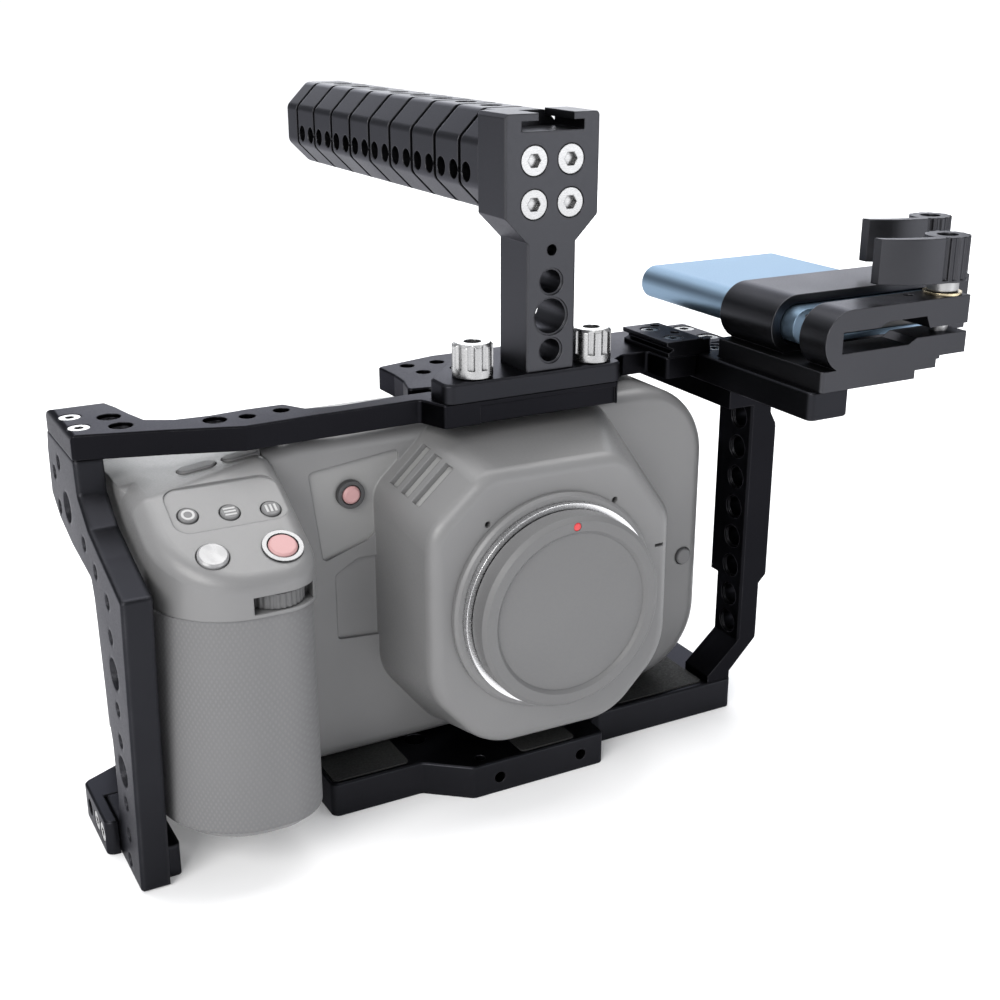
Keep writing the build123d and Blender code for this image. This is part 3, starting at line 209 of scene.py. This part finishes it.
def steel(name="steel", low=BRIGHT[0], high=BRIGHT[1], shine=(0.24, 0.32), lines=0.03):
    """Brushed metal with painted shade inside sockets and slots."""
    s = Shader(name, Metallic=1.0, Roughness=0.25)
    brushed = s.noise(700, 3, stretch=(1.0, 1.0, 8.0))
    tone = s.mix(s.noise(60, 2), low, high)
    # Sockets and slots darken by ambient occlusion: painted shade.
    s.set("Base Color", s.mix(s.recess(1.6 * MM), tone, SOCKET_SHADE))
    s.set("Roughness", s.ramp(brushed, 0.3, 0.7, *shine))
    s.set("Normal", s.bump(brushed, lines, 0.02 * MM, s.rounded(0.25 * MM)))
    return s.material


def rubber():
    s = Shader("rubber", Roughness=0.8)
    grain = s.noise(1600, 4)
    s.set("Base Color", s.mix(s.noise(60, 4), (0.006, 0.006, 0.0065), (0.011, 0.0115, 0.011)))
    s.set("Roughness", s.ramp(grain, 0.3, 0.7, 0.68, 0.9))
    s.set("Normal", s.bump(grain, 0.3, 0.08 * MM, s.rounded(0.3 * MM)))
    return s.material


def weave():
    """Fine crossed ribs of the hand grip, at a pitch of about 1.1 mm."""
    s = Shader("grip_rubber", Roughness=0.7)
    both = []
    for turn in (0.62, -0.62):
        wave = s.node("ShaderNodeTexWave", wave_type="BANDS", bands_direction="X")
        wave.inputs["Scale"].default_value = 290
        s.link(s.mapped(turn=(0, turn, 0.5)), wave.inputs["Vector"])
        both.append(wave.outputs["Fac"])
    pattern = s.math("MULTIPLY", *both)
    worn = s.noise(40, 3)
    pale = s.math("MULTIPLY", pattern, worn)
    s.set("Base Color", s.mix(pale, (0.112, 0.112, 0.115), (0.150, 0.150, 0.153)))
    s.set("Roughness", s.ramp(worn, 0.3, 0.7, 0.6, 0.75))
    s.set("Normal", s.bump(pattern, 0.28, 0.12 * MM, s.rounded(0.6 * MM)))
    return s.material


def moulded(name, low, high, grain=1900, depth=0.05):
    """Plastic with a fine spark-eroded grain, depth mm deep."""
    s = Shader(name, Roughness=0.5)
    spark = s.noise(grain, 3)
    s.set("Base Color", s.mix(s.noise(34, 4), low, high))
    s.set("Roughness", s.ramp(spark, 0.3, 0.7, 0.46, 0.6))
    s.set("Normal", s.bump(spark, 0.22, depth * MM, s.rounded(0.4 * MM)))
    return s.material


def housing():
    """Grey moulding; the sunk facet beside the lens housing is painted lighter, a painted highlight for
    the light that the facet catches.
    """
    s = Shader("housing_grey", Roughness=0.5)
    spark = s.noise(1900, 3)
    facet = s.between(s.axis("Y"), FACET_Y[0] * MM, FACET_Y[1] * MM, 0.1 * MM)
    for name, (low, high) in (("X", FACET_X), ("Z", FACET_Z)):
        facet = s.math("MULTIPLY", facet, s.between(s.axis(name), low * MM, high * MM, 0.2 * MM))
    tone = s.mix(s.noise(34, 4), (0.128, 0.128, 0.130), (0.158, 0.158, 0.160))
    # The facet gets a lighter grey: painted highlight.
    s.set("Base Color", s.mix(facet, tone, (0.20, 0.20, 0.20)))
    s.set("Roughness", s.ramp(spark, 0.3, 0.7, 0.35, 0.47))
    s.set("Normal", s.bump(spark, 0.22, 0.05 * MM, s.rounded(0.5 * MM)))
    return s.material


def glossy(name, low, high, roughness=0.08):
    """Glass or lacquer, with faint smears in the gloss."""
    s = Shader(name, Roughness=roughness, Coat_Weight=0.3, Coat_Roughness=0.03)
    s.set("Base Color", s.mix(s.noise(40, 3), low, high))
    s.set("Roughness", s.ramp(s.noise(300, 5), 0.35, 0.7, roughness * 0.6, roughness * 1.8))
    return s.material


def drive_metal():
    """Blue-grey blasted metal of the drive's case."""
    s = Shader("drive_blue", Metallic=1.0, Roughness=0.42, Specular_Tint=(0.55, 0.58, 0.62, 1.0))
    blast = s.noise(3200, 3)
    s.set("Base Color", s.mix(s.noise(22, 3), (0.175, 0.245, 0.325), (0.20, 0.28, 0.365)))
    s.set("Roughness", s.ramp(blast, 0.3, 0.7, 0.36, 0.48))
    s.set("Normal", s.bump(blast, 0.12, 0.04 * MM, s.rounded(0.5 * MM)))
    return s.material


FINISH = {
    "anodised": anodised(),
    "rubber": rubber(),
    "grip_rubber": weave(),
    "steel": steel(),
    "brass": steel("brass", (0.50, 0.42, 0.27), (0.66, 0.57, 0.38)),
    "housing": housing(),
    "cap_plastic": moulded("cap_plastic", (0.098, 0.098, 0.100), (0.118, 0.118, 0.120)),
    "button_plastic": moulded("button_plastic", (0.10, 0.10, 0.103), (0.13, 0.13, 0.133)),
    "record_red": moulded("record_red", (0.36, 0.20, 0.20), (0.44, 0.25, 0.25)),
    "chrome": steel("chrome", (0.72, 0.72, 0.73), (0.80, 0.80, 0.81), (0.25, 0.30), 0.0),
    "screen": glossy("screen", (0.006, 0.006, 0.008), (0.010, 0.010, 0.013)),
    "drive_blue": drive_metal(),
    "battery_case": moulded("battery_case", (0.02, 0.02, 0.022), (0.035, 0.035, 0.037)),
    "sensor": glossy("sensor", (0.02, 0.03, 0.05), (0.04, 0.03, 0.06)),
}
# Darker copy of the black anodising, painted shade, for the right arm and the top plate.
shaded_black = anodised("anodised_painted_shade", SHADED_BLACK)
# Lighter copy of the black anodising, painted sheen, for the handle, the clamp and the wing screws.
sheen_black = anodised("anodised_painted_sheen", SHEEN_BLACK)
wing = anodised("wing_screw_metal", SHEEN_BLACK, bright_below=WING_COLLAR_TOP)
black_steel = steel("black_steel", (0.030, 0.030, 0.033), (0.045, 0.045, 0.048))
# Pieces that differ from the other pieces in their material slot
SPECIAL = {
    # Wider rounded edges, which also widen the band of wear and painted highlight.
    "left_arm": anodised("anodised_arm", edge=1.6),
    "right_arm": shaded_black,
    "top_plate": shaded_black,
    "handle_post": sheen_black,
    "handle_grip": sheen_black,
    "clamp_body": sheen_black,
    "wing_screw_front": wing,
    "wing_screw_rear": wing,
    "clamp_bar_screws": black_steel,
    "accessory_rail_screws": black_steel,
    "right_arm_screws": black_steel,
    "stills_button": glossy("stills_cap", (0.20, 0.20, 0.205), (0.26, 0.26, 0.265), 0.25),
    "vent_insert": moulded("vent_mesh", (0.20, 0.20, 0.20), (0.26, 0.26, 0.26), grain=900, depth=0.2),
    "front_record_bezel": moulded("dark_ring", (0.03, 0.03, 0.032), (0.045, 0.045, 0.047)),
    "record_bezel": steel("ring_satin", (0.13, 0.13, 0.132), (0.18, 0.18, 0.182)),
    "control_dial": moulded("dial_knurl", (0.06, 0.06, 0.062), (0.09, 0.09, 0.092)),
}
for row in frame["record"]["subparts"]:
    finish = SPECIAL.get(row["node"], FINISH[row["material_slot"]])
    for slot in NODES[row["node"]].material_slots:
        slot.material = finish


def placed(name, data, place=(0.0, 0.0, 0.0), direction=None):
    """A new object in the scene, with its own -Z turned to the direction."""
    made = bpy.data.objects.new(name, data)
    bpy.context.scene.collection.objects.link(made)
    made.location = place
    if direction is not None:
        made.rotation_mode = "QUATERNION"
        made.rotation_quaternion = Vector(direction).to_track_quat("-Z", "Y")
    return made


# -------------------------------------------------------- small added pieces
TURN_STEPS = 48
# Measures in mm
CAP_INDEX_AT = (0.5, -38.82, 84.4)
DECK_LIP_Y, DECK_LIP_Z, DECK_TILT = -38.0, 86.0, math.radians(28.0)
BUTTON_DROP = 0.1
MARK_HEIGHT = 0.05
RING_INSIDE, RING_OUTSIDE = 1.05, 1.7
LINE_LENGTH, LINE_WIDTH, LINE_PITCH = 3.0, 0.56, 1.0
POST_LENGTH, POST_WIDTH, POST_PITCH = 2.4, 0.6, 1.1

DECK_NORMAL = Vector((0.0, -math.sin(DECK_TILT), math.cos(DECK_TILT)))


def solid(name, verts, faces, body, material):
    """A mesh that moves with a body of the CAD model."""
    mesh = bpy.data.meshes.new(name)
    mesh.from_pydata(verts, [], faces)
    made = placed(name, mesh)
    mesh.materials.append(material)
    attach(made, body)
    return made


def turned(name, profile, centre, axis, body, material):
    """Closed profile of (radius, height) in mm, turned about an axis through centre."""
    up = Vector(axis).normalized()
    side = up.orthogonal().normalized()
    front = up.cross(side)
    verts, faces, count = [], [], len(profile)
    for i in range(TURN_STEPS):
        a = 2 * math.pi * i / TURN_STEPS
        out = side * math.cos(a) + front * math.sin(a)
        verts += [(Vector(centre) + out * r + up * h) * MM for r, h in profile]
    for i in range(TURN_STEPS):
        for j in range(count):
            k, m = (i + 1) % TURN_STEPS * count, (j + 1) % count
            faces.append((i * count + j, k + j, k + m, i * count + m))
    return solid(name, verts, faces, body, material)


def bars(name, boxes, centre, axis, body, material):
    """Thin raised strokes (x, y, half width, half depth in mm) on the plane at centre."""
    up = Vector(axis).normalized()
    side = Vector((1, 0, 0))
    front = up.cross(side)
    verts, faces = [], []
    for x, y, w, d in boxes:
        base = len(verts)
        for h in (0.0, MARK_HEIGHT):
            for sx, sy in ((-w, -d), (w, -d), (w, d), (-w, d)):
                verts.append((Vector(centre) + side * (x + sx) + front * (y + sy) + up * h) * MM)
        faces += [tuple(base + i for i in f) for f in
                  ((3, 2, 1, 0), (4, 5, 6, 7), (0, 1, 5, 4), (1, 2, 6, 5), (2, 3, 7, 6), (3, 0, 4, 7))]
    return solid(name, verts, faces, body, material)


def on_button(x, y):
    """The face of a function button, a little below the sloping deck, over the point (x, y)."""
    deck = Vector((x, y, DECK_LIP_Z + (y - DECK_LIP_Y) * math.tan(DECK_TILT)))
    return deck - DECK_NORMAL * BUTTON_DROP


red_paint = glossy("index_red", (0.44, 0.016, 0.022), (0.54, 0.026, 0.030), 0.25)
turned("cap_index", [(0.02, 0.0), (1.15, 0.0), (1.15, 0.30), (0.85, 0.48), (0.02, 0.55)],
       CAP_INDEX_AT, (0, -1, 0), "cap", red_paint)

pale = moulded("mark_white", (0.36, 0.36, 0.36), (0.44, 0.44, 0.44), grain=2500, depth=0.02)
ring = [(RING_INSIDE, 0.0), (RING_OUTSIDE, 0.0), (RING_OUTSIDE, MARK_HEIGHT), (RING_INSIDE, MARK_HEIGHT)]
lines = [(0, step * LINE_PITCH, LINE_LENGTH / 2, LINE_WIDTH / 2) for step in (1, 0, -1)]
posts = [(step * POST_PITCH, 0, POST_WIDTH / 2, POST_LENGTH / 2) for step in (-1, 0, 1)]
turned("function_mark_1", ring,
       on_button(-96.3, -16.4), DECK_NORMAL, "function_1", pale)
bars("function_mark_2", lines,
     on_button(-86.1, -17.4), DECK_NORMAL, "function_2", pale)
bars("function_mark_3", posts,
     on_button(-75.9, -18.4), DECK_NORMAL, "function_3", pale)


# ------------------------------------------------------- stage, lights, camera
# Metres, watts and radians
FLOOR_REACH, FLOOR_GAP, FLOOR_GLOW = 90.0, 0.0002, 0.14
LAMPS = (  # name, place, size, power, colour
    ("key_left", (-1.0, -0.75, 0.8), (0.8, 0.8), 19, (1.0, 0.99, 0.97)),
    ("front_low", (0.62, -1.05, 0.10), (0.7, 0.5), 3, (0.97, 0.98, 1.0)),
    ("top", (0.47, 0.14, 1.24), (0.8, 0.8), 9, (1.0, 0.99, 0.98)),
    ("rim", (0.6, 1.3, 0.62), (1.4, 0.6), 10, (0.96, 0.98, 1.0)),
)
SUN_DIRECTION, SUN_STRENGTH, SUN_ANGLE = (0.05, -0.40, -1.0), 1.8, math.radians(45)
SKY_COLOUR, SKY_STRENGTH = (0.95, 0.97, 1.0, 1.0), 0.55
CAMERA_PLACE, CAMERA_DIRECTION = (-0.182, -0.335, 0.217), (0.446, 0.828, -0.339)
LENS_MM, SENSOR_MM, NEAR_CLIP = 50.9, 36.0, 0.01


def floor():
    """Pale paper, just below the object and wide enough to reach the horizon."""
    mesh = bpy.data.meshes.new("floor")
    z = cad_low.z - FLOOR_GAP
    corners = ((-1, -1), (1, -1), (1, 1), (-1, 1))
    mesh.from_pydata([(x * FLOOR_REACH, y * FLOOR_REACH, z) for x, y in corners], [], [(0, 1, 2, 3)])
    made = placed("floor", mesh)
    s = Shader("floor_paper", Roughness=0.85)
    s.set("Base Color", s.mix(s.noise(3, 2), (0.86, 0.86, 0.87), (0.89, 0.89, 0.90)))
    s.bsdf.inputs["Emission Color"].default_value = (1.0, 1.0, 1.0, 1.0)
    s.bsdf.inputs["Emission Strength"].default_value = FLOOR_GLOW
    mesh.materials.append(s.material)


floor()
middle = (cad_low + cad_high) / 2
for name, place, size, power, tint in LAMPS:
    lamp = bpy.data.lights.new(name, "AREA")
    lamp.shape, lamp.size, lamp.size_y = "RECTANGLE", size[0], size[1]
    lamp.energy, lamp.color = power, tint
    placed(name, lamp, place, middle - Vector(place)).visible_camera = False

sun = bpy.data.lights.new("sun", "SUN")
sun.energy, sun.angle = SUN_STRENGTH, SUN_ANGLE
placed("sun", sun, direction=SUN_DIRECTION)

world = bpy.data.worlds.new("studio")
world.use_nodes = True
sky = world.node_tree.nodes["Background"]
sky.inputs["Color"].default_value = SKY_COLOUR
sky.inputs["Strength"].default_value = SKY_STRENGTH
bpy.context.scene.world = world

camera = bpy.data.cameras.new("camera")
camera.lens, camera.sensor_width, camera.clip_start = LENS_MM, SENSOR_MM, NEAR_CLIP
bpy.context.scene.camera = placed("camera", camera, CAMERA_PLACE, CAMERA_DIRECTION)
bpy.context.scene.view_settings.view_transform = "Standard"
